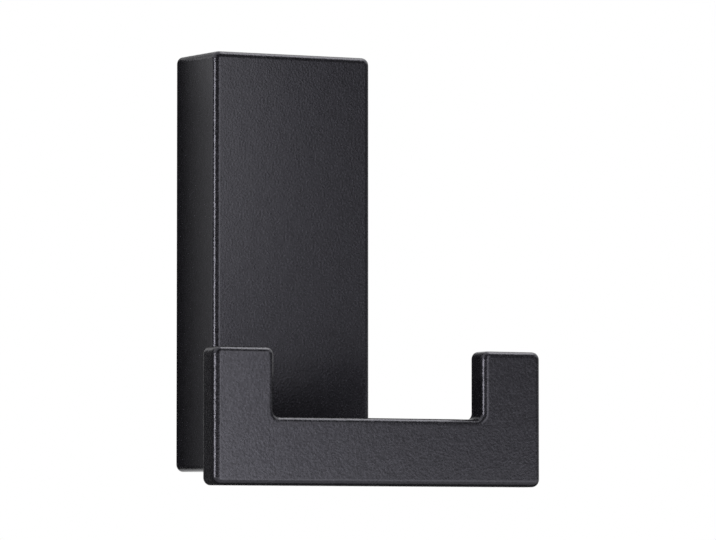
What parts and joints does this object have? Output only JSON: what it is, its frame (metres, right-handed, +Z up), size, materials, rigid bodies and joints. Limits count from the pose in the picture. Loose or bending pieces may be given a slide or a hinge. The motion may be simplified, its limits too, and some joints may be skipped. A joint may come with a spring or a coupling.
{
  "type": "coat hook",
  "caption": "Wall coat hook: a tall rectangular block with a flat two-armed hook standing off in front of its foot, held on a concealed bracket by a grub screw from below.",
  "frame": {"origin": "on the wall plane, midway between the bracket's screw holes, at the middle of the block's height and width", "axes": "+Z up the wall, +Y into the wall, so the front faces -Y, and +X along the hook's bar"},
  "size_m": [0.0694, 0.051, 0.0836],
  "materials": {
    "black_powder_coat": "fine-grained satin powder coat on zinc die casting",
    "zinc_plated_steel": "bright zinc plate on pressed sheet",
    "blackened_steel": "black oxide"
  },
  "bodies": {
    "root": {"hook_body": "black_powder_coat", "wall_bracket": "zinc_plated_steel", "grub_screw": "blackened_steel"}
  },
  "joints": []
}
